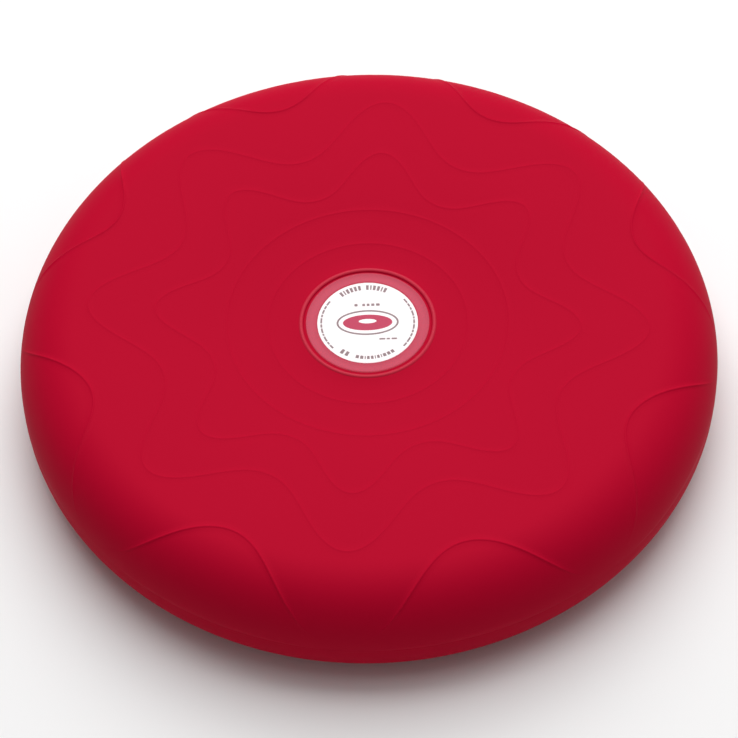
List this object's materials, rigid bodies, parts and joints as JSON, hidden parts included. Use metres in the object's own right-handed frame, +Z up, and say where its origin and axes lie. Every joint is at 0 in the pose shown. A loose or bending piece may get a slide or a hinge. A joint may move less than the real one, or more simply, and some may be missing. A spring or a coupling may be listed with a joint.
{
  "type": "wobble cushion",
  "caption": "Round air-filled balance cushion with a dished, ribbed seat, a label recess in the middle and a needle valve in its rear side wall.",
  "frame": {"origin": "centre of the underside, in the plane that rests on the floor", "axes": "+Z up, square to the seat; +Y towards the side wall that holds the valve; +X to the right seen from the front"},
  "size_m": [0.3304, 0.3308, 0.0583],
  "materials": {
    "skin": "satin soft PVC",
    "label": "smooth printed",
    "cover": "clear film",
    "valve_body": "satin",
    "valve_rubber": "matte",
    "plug": "satin"
  },
  "bodies": {
    "base": {"lower_shell": "skin", "valve_housing": "valve_body", "valve_collar": "valve_body", "valve_core": "valve_rubber", "core_ring": "valve_body"},
    "rim": {"rim_seam": "skin"},
    "seat": {"upper_shell": "skin", "label_disc": "label", "label_cover": "cover"},
    "plug": {"valve_plug": "plug"}
  },
  "joints": [
    {"name": "tilt_side", "type": "hinge", "parent": "base", "child": "rim", "pos_m": [0, 0, 0.028], "axis": [0, 1, 0], "range_deg": [-5, 5], "stiffness_Nm_per_rad": 170, "deforming": ["lower_shell"]},
    {"name": "tilt_front", "type": "hinge", "parent": "rim", "child": "seat", "pos_m": [0, 0, 0.028], "axis": [1, 0, 0], "range_deg": [-5, 5], "stiffness_Nm_per_rad": 170, "deforming": ["upper_shell"]},
    {"name": "plug_pull", "type": "slide", "parent": "base", "child": "plug", "axis": [0, 0.866, -0.5], "range_m": [0, 0.009]}
  ]
}
